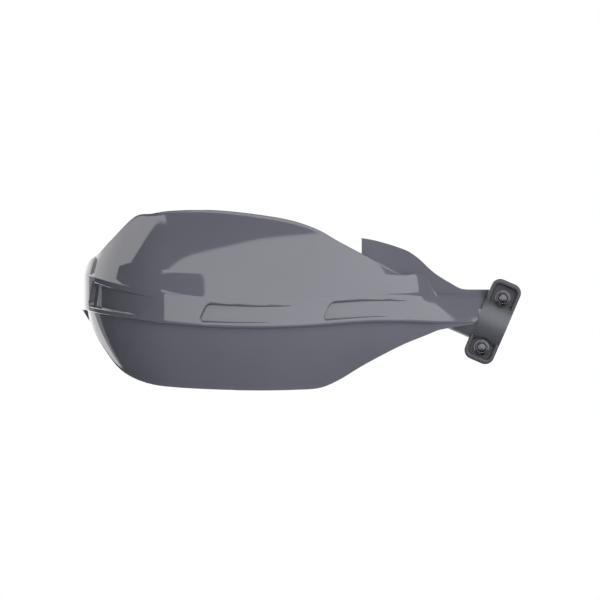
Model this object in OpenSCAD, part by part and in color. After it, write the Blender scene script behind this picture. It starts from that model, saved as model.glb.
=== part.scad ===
// Open-ended motorcycle hand guard for the right-hand grip.
// One moulding makes the shield, its arm and the front half of the handlebar clamp.
// A second moulding closes the clamp behind the bar, and two M5 bolts with lock nuts pull them together.
// The origin is the middle of the clamp's bore. +X runs inboard, -Y is ahead of the bar and +Z is up.

/* [Handlebar clamp] */
// Diameter of the handlebar that the clamp grips
bar_d = 22.2; // [21:0.1:24]
// Fall of the handlebar towards the middle of the bike, in degrees
bar_slope = 23.3; // [18:0.1:28]
// Wall of the clamp around the bar
clamp_wall = 4; // [3.5:0.1:5]
// Width of the clamp's ears along the bar
clamp_w = 19.6; // [18:0.1:24]
// Length of saddle that runs on outboard of the ears
saddle_run = 15.2; // [12:0.1:17]
// Gap between the two clamp halves when they are tight
clamp_gap = 2; // [1:0.1:3]
// Material between the bar and a bolt hole
bolt_wall = 3.2; // [2.8:0.1:4]
// Distance from a bolt's middle to the end of its ear
ear_reach = 10.2; // [9.5:0.1:12]
// How far the ears' outline sits above the bar's middle
ear_shift = 0.9; // [0:0.1:1.2]
// Radius of an ear's outer corners
ear_corner_r = 5.8; // [3:0.1:7]
// Thickness of an ear under a washer
ear_t = 5; // [4:0.1:6]
// Height of the rim that stands around a nut pocket
rim_h = 4; // [2.5:0.1:5]
// Thickness of the rim at the ear's two sides
rim_side = 2.6; // [2:0.1:3]
// Thickness of the rim at the ear's end
rim_end = 3.3; // [2:0.1:4]
// Radius of the round seat sunk into the saddle for each washer
seat_r = 6.6; // [6:0.1:7]
// Height above the bar's middle at which the outboard run of the saddle stops
tail_top = 5; // [3:0.1:8]
// Length of bar outboard of the bolts that the arm is cut clear of
bar_run = 60; // [50:1:80]

/* [Fasteners] */
// Thread diameter of the bolts
bolt_d = 5; // [4.5:0.1:5.5]
// Room around a bolt in its hole, on the radius
bolt_clear = 0.2; // [0.15:0.05:0.4]
// Length of a bolt under its head
bolt_len = 20; // [19:0.5:22]
// Diameter of a bolt's head
head_d = 8.5; // [8:0.1:9.5]
// Height of a bolt's head
head_h = 5; // [4:0.1:6]
// Width across the flats of the socket in the head
socket_af = 4; // [3:0.1:4.5]
// Width across the flats of a nut
nut_af = 8; // [7.5:0.1:8.5]
// Height of a nut's hexagon
nut_hex_h = 3.2; // [2.5:0.1:4]
// Height of a nut's round collar above the hexagon
nut_collar_h = 1.8; // [1.2:0.1:2.2]
// Outer diameter of a washer
washer_d = 10; // [9.5:0.1:11.5]
// Thickness of a washer
washer_t = 1; // [0.8:0.1:1.4]
// Depth of the socket in the head
socket_h = 2.8; // [2:0.1:3.5]
// Thickness of the nylon ring in a nut's collar
insert_w = 0.5; // [0.3:0.1:0.8]
// How far the nylon ring sits below the end of the collar
insert_sink = 0.2; // [0.1:0.1:0.4]
// Room between a thread and its nut, on the radius
thread_gap = 0.05; // [0.03:0.01:0.1]
// Room between a thread and its washer, on the radius
washer_gap = 0.15; // [0.1:0.05:0.3]

/* [Shield] */
// Length of the guard from the arm's root to the outboard end
guard_span = 251; // [235:1:265]
// How far the shield stands ahead of the arm's root
guard_reach = 74.5; // [66:0.5:82]
// Wall thickness of the moulding
wall = 3; // [2.5:0.1:3.5]
// Height of the raised band at its narrowest
band_h = 17.8; // [16:0.1:20]
// Drop of the band's lower edge in the middle of the shield
band_dip = 3.4; // [2:0.1:5]
// Height of the facet above the band
facet_h = 12.3; // [11:0.1:14]
// How far the facet leans back over its height
facet_lean = 4.5; // [3:0.1:6]
// Height of the crown above the facet, at its highest
crown_h = 41.3; // [36:0.1:46]
// How far the crown leans back at its highest
crown_lean = 22.5; // [18:0.1:26]
// Height of the skirt below the band
skirt_h = 39.5; // [35:0.1:44]
// How far the skirt tucks back at its edge
skirt_tuck = 15.5; // [12:0.1:18]
// Depth of the step under the band
step_in = 2.5; // [1.5:0.1:3]
// Chamfer along the band's two edges
edge_r = 0.6; // [0.3:0.05:0.9]
// Chamfer along the free edges of the crown and the skirt
free_edge = 1; // [0.5:0.1:1.2]
// Thickness of the arm at the clamp
arm_t = 10; // [9:0.1:11]
// How far the arm's upper edge rolls back where it meets the clamp
arm_roll = 4; // [2:0.1:5]

/* [Scoops] */
// Distance of the first scoop from the outboard end, along the band
scoop_first = 37.5; // [36:0.5:40]
// Distance of the second scoop from the outboard end
scoop_second = 124; // [110:0.5:130]
// Distance of the third scoop from the outboard end
scoop_third = 203.5; // [195:0.5:206]
// Length of a scoop
scoop_len = 61; // [50:0.5:64]
// Depth of a scoop at its blunt end
scoop_depth = 3; // [2:0.1:4]
// Band left above a scoop
scoop_top = 4.4; // [3.5:0.1:5.5]
// Band left below a scoop
scoop_bottom = 3.2; // [2.5:0.1:4]
// How far a scoop's blunt end leans along the band
scoop_slant = 6; // [3:0.1:8]
// Corner radius of a scoop's blunt end
scoop_r = 2.8; // [1.5:0.1:3.5]

/* [Fin] */
// Height of the fin above the band's top edge, at its outboard end
fin_h = 35; // [30:0.5:40]
// How far the fin leans back at its outboard end
fin_lean = 14; // [12:0.5:18]
// Thickness of the fin
fin_t = 2.6; // [2:0.1:3]
// Length of the fin along the band
fin_len = 82; // [76:1:88]

/* [Hidden] */
$fn = 48;

// Plan of the band from the arm's root outboard, as shares of the span and of the reach
PLAN = [[0, 0], [0.10, 0.29], [0.22, 0.58], [0.37, 0.83], [0.525, 0.97], [0.68, 1],
        [0.82, 0.92], [0.915, 0.71], [0.972, 0.43], [0.994, 0.17], [1, -0.03]];
root = [-11, -18];

// One row per rib: place along the band, then shares of the dip and the heights of
// band, facet, crown and skirt
RIBS = [[0.000, 0.03, 0.92, 0.03, 0.016, 0.016],
        [0.087, 0.03, 0.94, 0.03, 0.016, 0.11],
        [0.115, 0, 0.95, 0.98, 0.016, 0.19],
        [0.180, -0.2, 0.99, 0.95, 0.016, 0.39],
        [0.256, -0.2, 1.01, 0.97, 0.29, 0.68],
        [0.312, 0.05, 1.03, 0.98, 0.52, 0.92],
        [0.350, 0.3, 1.02, 0.98, 0.71, 1.01],
        [0.407, 0.65, 1, 1, 0.885, 1.01],
        [0.491, 0.88, 1.01, 1.03, 0.99, 1],
        [0.592, 0.7, 1.05, 1.02, 1.02, 1],
        [0.691, 0, 1.1, 1.05, 0.93, 1.02],
        [0.752, -0.7, 1.16, 1.04, 0.806, 1.03],
        [0.802, -1.3, 1.21, 0.99, 0.7, 0.99],
        [0.851, -1.8, 1.27, 0.94, 0.31, 0.86],
        [0.881, -2.1, 1.29, 0.88, 0.06, 0.58],
        [0.911, -2.4, 1.29, 0.66, 0.016, 0.3],
        [0.945, -2.6, 1.26, 0.12, 0.016, 0.02],
        [1.000, -3.2, 1.02, 0.03, 0.016, 0.016]];
// Height of the fin above the band, along the band, as shares of its length and height
FIN = [[0, 0.14], [0.06, 0.16], [0.12, 0.22], [0.27, 0.40], [0.34, 0.52], [0.415, 0.68],
       [0.49, 0.79], [0.56, 0.84], [0.85, 0.97], [1, 1.01]];

// Shares that shape the shield: the least height of a facet, and of a crown or skirt, how much
// of the crown's and the skirt's lean is bowed, and where the arm's roll and thickness fade out
facet_least = 0.03;
panel_least = 0.016;
crown_bow = 0.2;
skirt_bow = 0.65;
roll_run = 0.14;
arm_end = 0.34;
arm_fade = 0.12;

// Small steps: one that joins faces, and one by which a cutting tool passes a face
tiny = 0.01;
over = 1;
bar_r = bar_d / 2;
saddle_r = bar_r + clamp_wall;
face_y = clamp_gap / 2;
hole_r = bolt_d / 2 + bolt_clear;
bolt_v = bar_r + bolt_wall + hole_r;
ear_end = bolt_v + ear_reach;
seat_y = face_y + ear_t;
far = guard_span;

// A smooth curve through evenly spaced points
function spline(p, t) =
    let (n = len(p), i = min(floor(t), n - 2), f = t - i,
         a = i > 0 ? p[i - 1] : 2 * p[0] - p[1],
         d = i + 2 < n ? p[i + 2] : 2 * p[n - 1] - p[n - 2],
         b = p[i], c = p[i + 1])
    0.5 * (2 * b + (c - a) * f + (2 * a - 5 * b + 4 * c - d) * f ^ 2
           + (3 * b - a - 3 * c + d) * f ^ 3);

// A smooth curve through one column of a table whose first column is the place
function slope_at(rows, c, k) =
    let (a = rows[max(k - 1, 0)], b = rows[min(k + 1, len(rows) - 1)])
    (b[c] - a[c]) / (b[0] - a[0]);
function row_before(rows, s) =
    max([for (k = [0 : len(rows) - 2]) rows[k][0] <= s ? k : 0]);
function column(rows, c, place) =
    let (s = max(place, 0), k = row_before(rows, s), a = rows[k], b = rows[k + 1],
         w = b[0] - a[0], f = (s - a[0]) / w,
         ma = slope_at(rows, c, k) * w, mb = slope_at(rows, c, k + 1) * w)
    a[c] + f * ma + f ^ 2 * (3 * (b[c] - a[c]) - 2 * ma - mb) + f ^ 3 * (2 * (a[c] - b[c]) + ma + mb);

// The plan is walked once to turn distance along the band into a place
plan_steps = 120;
plan_pts = [for (i = [0 : plan_steps])
    let (p = spline(PLAN, i / plan_steps * (len(PLAN) - 1)))
    [root.x - guard_span * p.x, root.y - guard_reach * p.y]];
plan_walk = [for (i = 0, w = 0; i <= plan_steps; i = i + 1,
                  w = w + (i <= plan_steps ? norm(plan_pts[i] - plan_pts[i - 1]) : 0)) w];
plan_len = plan_walk[plan_steps];
plan_x = [for (i = [0 : plan_steps]) [plan_walk[i] / plan_len, plan_pts[i].x]];
plan_y = [for (i = [0 : plan_steps]) [plan_walk[i] / plan_len, plan_pts[i].y]];
root_way = (plan_pts[1] - plan_pts[0]) / norm(plan_pts[1] - plan_pts[0]);
function plan(s) =
    s < 0 ? plan_pts[0] + root_way * s * plan_len : [lookup(s, plan_x), lookup(s, plan_y)];
function inward(s) =
    let (e = 0.012, d = plan(min(s + e, 1)) - plan(s - e))
    [d.y, -d.x] / norm(d);

// A point of the shield: place along the band, distance in from its face, and height
function on_shield(s, h, z) = let (p = plan(s) + inward(s) * h) [p.x, p.y, z];

// Heights of the shield's lines at one place
function band_low(s) = -band_dip * column(RIBS, 1, s);
function band_high(s) = band_low(s) + band_h * column(RIBS, 2, s);
function facet_top(s) = band_high(s) + facet_h * max(column(RIBS, 3, s), facet_least);
function crown_size(s) = crown_h * max(column(RIBS, 4, s), panel_least);
function skirt_size(s) = skirt_h * max(column(RIBS, 5, s), panel_least);

// How far the crown and the skirt stand in from the band's face, and their steepness
function bowed(share, bow) = (1 - bow) * share + bow * share ^ 2;
function bowed_slope(share, bow) = 1 - bow + 2 * bow * share;
function crown_in(y) = facet_lean + crown_lean * bowed(y / crown_h, crown_bow);
function crown_tilt(y) = crown_lean / crown_h * bowed_slope(y / crown_h, crown_bow);
function skirt_in(d) = skirt_tuck * bowed(d / skirt_h, skirt_bow);
function skirt_tilt(d) = skirt_tuck / skirt_h * bowed_slope(d / skirt_h, skirt_bow);
function slant_t(tilt) = wall * sqrt(1 + tilt ^ 2);

// The band's back: a thin wall behind the shield that thickens into the arm
function band_back(s) =
    let (thin = step_in + wall, f = max(0, min(1, (arm_end - s) / arm_fade)))
    thin + (arm_t - thin) * f ^ 2 * (3 - 2 * f);

// Rows of points up the skirt and the crown, and the skirt height at which the step is full
skirt_n = 6;
crown_n = 7;
step_full = 8;

// One rib of the moulding as pairs of outer and inner points, from the skirt's edge up
function rib(s) =
    let (low = band_low(s), high = band_high(s), top = facet_top(s),
         ck = crown_size(s), sk = skirt_size(s),
         step = step_in * min(1, sk / step_full),
         fl = facet_lean * min(1, (top - high) / facet_h),
         back = band_back(s),
         roll = arm_roll * max(0, 1 - s / roll_run),
         e = min(edge_r, (high - low) / 4),
         cs = min(free_edge, sk / 4),
         cc = min(free_edge, ck / 4))
    concat(
        [for (i = [-1 : skirt_n])
            let (d = i < 0 ? sk : (sk - cs) * (1 - i / skirt_n), h = step + skirt_in(d),
                 t = slant_t(skirt_tilt(d)), cut = i < 0 ? cs : 0)
            [[h + cut, low - d], [i < skirt_n ? h + t - cut : max(h + t, back), low - d]]],
        [[[e, low + tiny], [back, low + e / 2]]],
        [for (g = [0 : 3])
            let (z = low + e + (high - low - 2 * e) * g / 3)
            [[roll * (g / 3) ^ 2, z], [back, z]]],
        [[[roll + e / 2, high], [back, high - e / 2]],
         [[roll + fl / 2 + e / 4, (high + top) / 2],
          [roll + max(fl / 2 + step_in + wall, fl + slant_t(crown_tilt(0))), (high + top) / 2]]],
        [for (i = [0 : crown_n + 1])
            let (y = i > crown_n ? ck : (ck - cc) * i / crown_n, h = roll + crown_in(y) - facet_lean + fl,
                 cut = i > crown_n ? cc : 0)
            [[h + cut, top + y], [h + slant_t(crown_tilt(y)) - cut, top + y]]]);

// Places where a rib is drawn, close together where the facet starts and at the end
facet_full = 0.115;
end_turn = 0.83;
long_n = 41;
turn_n = 16;
places = concat([-0.04, -0.02, 0, 0.025, 0.05, 0.074, 0.088, 0.102, facet_full],
                [for (i = [1 : long_n]) facet_full + (end_turn - facet_full) * i / long_n],
                [for (i = [1 : turn_n]) end_turn + (1 - end_turn) * i / turn_n]);

// Joins rings of equal length into one closed solid, with the end rings filled by strips
module loft(rings) {
    n = len(rings[0]);
    half = n / 2;
    last = (len(rings) - 1) * n;
    sides = [for (r = [0 : len(rings) - 2], i = [0 : n - 1])
        let (j = (i + 1) % n, a = r * n + i, b = r * n + j, c = a + n, d = b + n)
        each [[a, d, b], [a, c, d]]];
    start = [for (i = [0 : half - 2]) each [[i, i + 1, n - 1 - i], [i + 1, n - 2 - i, n - 1 - i]]];
    end = [for (f = start) [last + f[0], last + f[2], last + f[1]]];
    polyhedron(points = [for (r = rings) each r], faces = concat(sides, start, end), convexity = 8);
}

// The shield, band, facet and arm of the moulding
module shield() {
    loft([for (s = places)
        let (r = rib(s), n = len(r))
        concat([for (i = [0 : n - 1]) on_shield(s, r[i][0][0], r[i][0][1])],
               [for (i = [n - 1 : -1 : 0]) on_shield(s, r[i][1][0], r[i][1][1])])]);
}

// Rows and rings of the fin, its run inboard of the arm's root, its depth in the arm's back and
// below the band's edge, how it curls back, and the ragged end that is cut off upright
fin_rows = 6;
fin_n = 22;
fin_start = 20;
fin_inset = 0.8;
fin_root = 6;
fin_curl = 1.2;
fin_trim = 10;

// The fin stands on the arm's back and leans away behind the shield
module fin() {
    fin_edge = root.x - fin_len + fin_trim;
    difference() {
        fin_blade();
        translate([fin_edge - far, -far, -far]) cube([far, far, 2 * far]);
    }
}

// The fin's whole sweep, before its edge is cut upright
module fin_blade() {
    loft([for (k = [0 : fin_n])
        let (run = -fin_start + (fin_len + fin_start) * k / fin_n, s = run / plan_len,
             foot = band_back(s) - fin_t - fin_inset, z0 = band_high(s) - fin_root,
             tall = fin_h * column(FIN, 1, run / fin_len) + fin_root,
             pts = [for (i = [0 : fin_rows])
                 let (g = i / fin_rows, y = tall * g)
                 [foot + fin_lean * (max(y - fin_root, 0) / fin_h) ^ fin_curl, z0 + y]])
        concat([for (q = pts) on_shield(s, q[0], q[1])],
               [for (i = [fin_rows : -1 : 0]) on_shield(s, pts[i][0] + fin_t, pts[i][1])])]);
}

// Rings and rows of a scoop's tool, its rise past the face at the far end, and the share by
// which its lower edge is shorter than its upper one
scoop_n = 20;
scoop_m = 4;
scoop_over = 0.3;
scoop_rake = 0.14;

// The tool that cuts one ramped scoop into the band's face, a0 from the outboard end
module scoop_tool(a0) {
    loft([for (i = [scoop_n : -1 : 0])
        let (f = i / scoop_n, run = f * scoop_len,
             nip = run < scoop_r ? scoop_r - sqrt(scoop_r ^ 2 - (scoop_r - run) ^ 2) : 0,
             depth = (scoop_depth + scoop_over) * (1 - f) - scoop_over,
             col = [for (j = [0 : scoop_m])
                 let (g = j / scoop_m,
                      a = a0 + run * (1 - scoop_rake * (1 - g)) + scoop_slant * (g - 0.5),
                      s = 1 - a / plan_len,
                      lo = band_low(s) + scoop_bottom + nip,
                      hi = band_high(s) - scoop_top - nip)
                 [s, lo + (hi - lo) * g]])
        concat([for (q = col) on_shield(q[0], -scoop_depth, q[1])],
               [for (j = [scoop_m : -1 : 0]) on_shield(col[j][0], depth, col[j][1])])]);
}

// Turns a piece so that its X runs along the handlebar
module along_bar() {
    rotate([0, bar_slope, 0]) children();
}

// A round bar along the handlebar's line from u0 to u1
module rod_u(r, u0, u1) {
    translate([u0, 0, 0]) rotate([0, 90, 0]) cylinder(r = r, h = u1 - u0);
}

// A round bar across the clamp at height v, from y0 to y1
module rod_y(r, v, y0, y1) {
    translate([0, y1, v]) rotate([90, 0, 0]) cylinder(r = r, h = y1 - y0);
}

// The outline of both ears seen from the front, with rounded corners
module ears_outline() {
    w = clamp_w / 2;
    c = ear_corner_r;
    union() {
        square([2 * w, 2 * (ear_end - c)], center = true);
        square([2 * (w - c), 2 * ear_end], center = true);
        for (sx = [-1, 1], sy = [-1, 1])
            translate([sx * (w - c), sy * (ear_end - c)]) circle(r = c);
    }
}

// A plate with the ears' outline from y0 to y1
module ears_plate(y0, y1) {
    translate([0, y1, ear_shift]) rotate([90, 0, 0]) linear_extrude(y1 - y0) ears_outline();
}

// Front half of the clamp, with its nut pockets
module clamp_front() {
    pocket_w = clamp_w - 2 * rim_side;
    pocket_v = ear_end - rim_end;
    difference() {
        union() {
            difference() {
                ears_plate(-seat_y - rim_h, -face_y);
                translate([-pocket_w / 2, -seat_y - rim_h - over, ear_shift - pocket_v])
                    cube([pocket_w, rim_h + over, 2 * pocket_v]);
            }
            intersection() {
                rod_u(saddle_r, -clamp_w / 2 - saddle_run, clamp_w / 2);
                union() {
                    translate([-clamp_w / 2, -far, -far]) cube([clamp_w, far - face_y, 2 * far]);
                    translate([-far, -far, -far]) cube([far, far - face_y, far + tail_top]);
                }
            }
        }
        for (side = [-1, 1]) rod_y(seat_r, side * bolt_v, -saddle_r - over, -seat_y);
    }
}

// Bolt holes through either half
module bolt_holes() {
    for (side = [-1, 1]) rod_y(hole_r, side * bolt_v, -bolt_len, bolt_len);
}

// How far the arm runs into the clamp's block
arm_bite = 0.5;

// The whole front moulding
module shell() {
    color([0.52, 0.53, 0.57])
    difference() {
        union() {
            difference() {
                union() {
                    shield();
                    fin();
                }
                along_bar() translate([arm_bite - clamp_w / 2, -far, -far]) cube(2 * far);
            }
            along_bar() clamp_front();
        }
        for (a0 = [scoop_first, scoop_second, scoop_third]) scoop_tool(a0);
        along_bar() rod_u(bar_r, -bar_run, clamp_w);
        along_bar() bolt_holes();
    }
}

// The half that closes the clamp behind the bar
module rear_clamp() {
    color([0.46, 0.47, 0.51])
    along_bar() difference() {
        union() {
            ears_plate(face_y, seat_y);
            intersection() {
                rod_u(saddle_r, -clamp_w / 2, clamp_w / 2);
                translate([-far, face_y, -far]) cube([2 * far, far, 2 * far]);
            }
        }
        for (side = [-1, 1]) rod_y(seat_r, side * bolt_v, seat_y, saddle_r + over);
        rod_u(bar_r, -clamp_w, clamp_w);
        bolt_holes();
    }
}

// A socket-head bolt put in from behind
module bolt(v) {
    head_y = seat_y + washer_t;
    color([0.72, 0.73, 0.75])
    along_bar() difference() {
        union() {
            rod_y(bolt_d / 2, v, head_y - bolt_len, head_y + tiny);
            rod_y(head_d / 2, v, head_y, head_y + head_h);
        }
        translate([0, head_y + head_h + over, v]) rotate([90, 0, 0])
            cylinder(d = socket_af / cos(30), h = socket_h + over, $fn = 6);
    }
}

// A flat washer whose inner face lies at y
module washer(v, y) {
    color([0.78, 0.79, 0.80])
    along_bar() difference() {
        rod_y(washer_d / 2, v, y, y + washer_t);
        rod_y(bolt_d / 2 + washer_gap, v, y - over, y + washer_t + over);
    }
}

// The nut's face on its washer, the collar's step in from the flats, and the collar's end
nut_y = -seat_y - washer_t;
collar_in = 0.3;
collar_y = nut_y - nut_hex_h - nut_collar_h;

// A lock nut: a hexagon with a round collar that holds the insert
module nut(v) {
    color([0.74, 0.75, 0.77])
    along_bar() difference() {
        union() {
            translate([0, nut_y, v]) rotate([90, 0, 0])
                cylinder(d = nut_af / cos(30), h = nut_hex_h, $fn = 6);
            rod_y(nut_af / 2 - collar_in, v, collar_y, nut_y - nut_hex_h + tiny);
        }
        rod_y(bolt_d / 2 + thread_gap, v, collar_y - over, nut_y + over);
        rod_y(bolt_d / 2 + insert_w, v, collar_y - over, nut_y - nut_hex_h);
    }
}

// The nylon ring in the nut's collar
module nut_insert(v) {
    color([0.16, 0.16, 0.18])
    along_bar() difference() {
        rod_y(bolt_d / 2 + insert_w, v, collar_y + insert_sink, nut_y - nut_hex_h);
        rod_y(bolt_d / 2 + thread_gap, v, collar_y - over, nut_y + over);
    }
}

shell();
rear_clamp();
bolt(bolt_v);  // bolt_upper
bolt(-bolt_v);  // bolt_lower
washer(bolt_v, seat_y);  // head_washer_upper
washer(-bolt_v, seat_y);  // head_washer_lower
washer(bolt_v, -seat_y - washer_t);  // nut_washer_upper
washer(-bolt_v, -seat_y - washer_t);  // nut_washer_lower
nut(bolt_v);  // nut_upper
nut(-bolt_v);  // nut_lower
nut_insert(bolt_v);  // nut_insert_upper
nut_insert(-bolt_v);  // nut_insert_lower
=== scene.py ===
# %% [markdown]
# A motorcycle hand guard, lit as it would be for a parts catalogue.
# The guard is one glossy grey moulding with half of a handlebar clamp on its end. The other
# half is a piece of its own, drawn up from behind by two bolts with lock nuts.
# The imported model already has the sizes, so this script loads it as a fixed frame and works
# on what the eye sees: smooth shading, crisp edges, plastic, plated steel and light.

# %% Load the imported model and bake each node's place into its mesh
import bisect
import math

import bpy
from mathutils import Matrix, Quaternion, Vector


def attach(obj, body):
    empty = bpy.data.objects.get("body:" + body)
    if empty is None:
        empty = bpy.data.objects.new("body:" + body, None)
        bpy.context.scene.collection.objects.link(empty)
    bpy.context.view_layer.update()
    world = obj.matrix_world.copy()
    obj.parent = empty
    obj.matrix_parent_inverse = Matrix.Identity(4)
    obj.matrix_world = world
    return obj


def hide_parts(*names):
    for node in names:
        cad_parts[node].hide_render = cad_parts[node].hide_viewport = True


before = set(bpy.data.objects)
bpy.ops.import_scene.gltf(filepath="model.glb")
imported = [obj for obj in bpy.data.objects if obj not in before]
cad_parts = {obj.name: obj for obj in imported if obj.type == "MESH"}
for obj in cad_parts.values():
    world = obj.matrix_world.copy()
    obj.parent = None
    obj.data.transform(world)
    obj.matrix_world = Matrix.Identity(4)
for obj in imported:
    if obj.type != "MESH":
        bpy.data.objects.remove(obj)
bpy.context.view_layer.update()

# %% [markdown]
# The rear clamp, the bolts, the washers and the nuts arrive as loose triangles, which shade
# flat and show every facet. They could be modelled a second time, but their solids already
# have the right form. So a merged copy of each is smoothed by angle, and its edges get the
# narrow bevel that catches the light on the real part.

# %% Helpers that pick one object and smooth a merged copy of a node
smooth_angle, bevel_angle = math.radians(30.0), math.radians(32.0)
node_weld, bevel_rows = 0.000005, 2


def only(obj):
    """Makes one object the active and only selected one."""
    bpy.ops.object.select_all(action="DESELECT")
    obj.select_set(True)
    bpy.context.view_layer.objects.active = obj


def dressed_copy(node, name, bevel_m):
    """Copies a node, welds its triangles, bevels its edges and smooths the rest."""
    copy = bpy.data.objects.new(name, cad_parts[node].data.copy())
    copy.data.name = name
    bpy.context.scene.collection.objects.link(copy)
    only(copy)
    bpy.ops.object.mode_set(mode="EDIT")
    bpy.ops.mesh.select_all(action="SELECT")
    bpy.ops.mesh.remove_doubles(threshold=node_weld)
    bpy.ops.object.mode_set(mode="OBJECT")
    bevel = copy.modifiers.new("edge", "BEVEL")
    bevel.width = bevel_m
    bevel.segments = bevel_rows
    bevel.limit_method = "ANGLE"
    bevel.angle_limit = bevel_angle
    bpy.ops.object.modifier_apply(modifier="edge")
    bpy.ops.object.shade_smooth_by_angle(angle=smooth_angle)
    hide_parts(node)
    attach(copy, "root")
    print(name, len(copy.data.polygons), "faces")
    return copy


print("nodes in the frame:", len(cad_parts))

# %% [markdown]
# The moulding is the piece that everyone looks at: a shield that wraps the hand, a flat band
# with three scoops, a facet above it, a tall crown, a tucked skirt, and an arm with half of
# the clamp on its end. A glossy skin shows every facet of a coarse mesh, so it gets a mesh of
# its own. It could be sculpted, or smoothed out of the CAD triangles, but its ribs follow a
# rule. A flat grid is added instead, and each of its vertices is moved to the place that the
# rule gives, which keeps the rows even and the reflections clean.

# %% Sizes of the moulding, in millimetres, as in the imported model
arm_root = Vector((-11.0, -18.0))
guard_span, guard_reach = 251.0, 74.5
wall, edge_r, free_edge = 3.0, 0.6, 1.0
band_h, band_dip = 17.8, 3.4
facet_h, facet_lean = 12.3, 4.5
crown_h, crown_lean, crown_bow = 41.3, 22.5, 0.2
skirt_h, skirt_tuck, skirt_bow = 39.5, 15.5, 0.65
step_in, step_full = 2.5, 8.0
arm_t, arm_roll, roll_run, arm_end, arm_fade = 10.0, 4.0, 0.14, 0.34, 0.12
facet_least, panel_least = 0.03, 0.016
# Plan of the band, as shares of the span and of the reach
PLAN = [(0, 0), (0.10, 0.29), (0.22, 0.58), (0.37, 0.83), (0.525, 0.97), (0.68, 1),
        (0.82, 0.92), (0.915, 0.71), (0.972, 0.43), (0.994, 0.17), (1, -0.03)]
# Place along the band, then shares of the dip and of the heights of band, facet, crown, skirt
RIBS = [(0.000, 0.03, 0.92, 0.03, 0.016, 0.016),
        (0.087, 0.03, 0.94, 0.03, 0.016, 0.11),
        (0.115, 0, 0.95, 0.98, 0.016, 0.19),
        (0.180, -0.2, 0.99, 0.95, 0.016, 0.39),
        (0.256, -0.2, 1.01, 0.97, 0.29, 0.68),
        (0.312, 0.05, 1.03, 0.98, 0.52, 0.92),
        (0.350, 0.3, 1.02, 0.98, 0.71, 1.01),
        (0.407, 0.65, 1, 1, 0.885, 1.01),
        (0.491, 0.88, 1.01, 1.03, 0.99, 1),
        (0.592, 0.7, 1.05, 1.02, 1.025, 1),
        (0.691, 0, 1.1, 1.05, 0.93, 1.02),
        (0.752, -0.7, 1.16, 1.04, 0.806, 1.03),
        (0.802, -1.3, 1.21, 0.99, 0.7, 0.99),
        (0.851, -1.8, 1.27, 0.94, 0.31, 0.86),
        (0.881, -2.1, 1.29, 0.88, 0.06, 0.58),
        (0.911, -2.4, 1.29, 0.66, 0.016, 0.3),
        (0.945, -2.6, 1.26, 0.12, 0.016, 0.02),
        (1.000, -3.2, 1.02, 0.03, 0.016, 0.016)]
print("ribs in the table:", len(RIBS))

# %% [markdown]
# The table's rows are far apart, and a real skin has no kinks between them. A straight line
# from row to row would show as bands of light, so both curves below pass through their
# points with a slope that doesn't jump.

# %% Smooth curves through even points, and through a column of a table
def spline_point(points, t):
    """A smooth curve through evenly spaced points, at t from 0 to the last index."""
    last = len(points) - 1
    i = min(int(t), last - 1)
    f = t - i
    b, c = Vector(points[i]), Vector(points[i + 1])
    a = Vector(points[i - 1]) if i > 0 else 2 * b - c
    d = Vector(points[i + 2]) if i + 2 <= last else 2 * c - b
    return 0.5 * (2 * b + (c - a) * f + (2 * a - 5 * b + 4 * c - d) * f ** 2
                  + (3 * b - a - 3 * c + d) * f ** 3)


def share_at(rows, column, place):
    """A smooth curve through one column of a table whose first column is the place."""
    def slope(k):
        before, after = rows[max(k - 1, 0)], rows[min(k + 1, len(rows) - 1)]
        return (after[column] - before[column]) / (after[0] - before[0])
    s = max(place, 0.0)
    k = max(i for i in range(len(rows) - 1) if rows[i][0] <= s)
    a, b = rows[k], rows[k + 1]
    w = b[0] - a[0]
    f = (s - a[0]) / w
    ma, mb = slope(k) * w, slope(k + 1) * w
    return (a[column] + f * ma + f ** 2 * (3 * (b[column] - a[column]) - 2 * ma - mb)
            + f ** 3 * (2 * (a[column] - b[column]) + ma + mb))


print("crown's share of its height at mid band", round(share_at(RIBS, 4, 0.5), 3))

# %% The band seen from above, and a point on the shield
plan_steps, aside_step = 3000, 0.012
plan_pts = []
for i in range(plan_steps + 1):
    share = spline_point(PLAN, i / plan_steps * (len(PLAN) - 1))
    plan_pts.append(arm_root - Vector((guard_span * share.x, guard_reach * share.y)))
plan_walk = [0.0]
for near, beyond in zip(plan_pts, plan_pts[1:]):
    plan_walk.append(plan_walk[-1] + (beyond - near).length)
plan_len = plan_walk[-1]
root_way = (plan_pts[1] - plan_pts[0]).normalized()


def plan(s):
    """The band's face seen from above, at the share s of its length."""
    if s < 0:
        return plan_pts[0] + root_way * s * plan_len
    run = min(s, 1.0) * plan_len
    i = min(max(bisect.bisect_right(plan_walk, run) - 1, 0), plan_steps - 1)
    f = (run - plan_walk[i]) / (plan_walk[i + 1] - plan_walk[i])
    return plan_pts[i].lerp(plan_pts[i + 1], f)


def on_shield(s, inset, height):
    """A point at the place s, set in from the band's face, in metres."""
    way = plan(min(s + aside_step, 1.0)) - plan(s - aside_step)
    inward = Vector((way.y, -way.x)).normalized()
    p = plan(s) + inward * inset
    return Vector((p.x, p.y, height)) * 0.001


print("band length", round(plan_len, 1), "mm")

# %% [markdown]
# Seen in section, the guard is a low step, an upright band, a slanted facet and a crown that
# leans back, with a wall of even thickness behind them. Each height and lean is a rule of
# the place along the band, so that a change of one size carries through the whole shield.

# %% Heights of the moulding at one place
facet_from, facet_full, facet_share = 0.097, 0.115, 0.98


def band_low(s):
    return -band_dip * share_at(RIBS, 1, s)


def band_high(s):
    return band_low(s) + band_h * share_at(RIBS, 2, s)


def facet_top(s):
    """The facet stops at a straight slanted end near the arm."""
    if s > facet_full:
        share = max(share_at(RIBS, 3, s), facet_least)
    else:
        ramp = min(max((s - facet_from) / (facet_full - facet_from), 0.0), 1.0)
        share = facet_least + (facet_share - facet_least) * ramp
    return band_high(s) + facet_h * share


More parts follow.
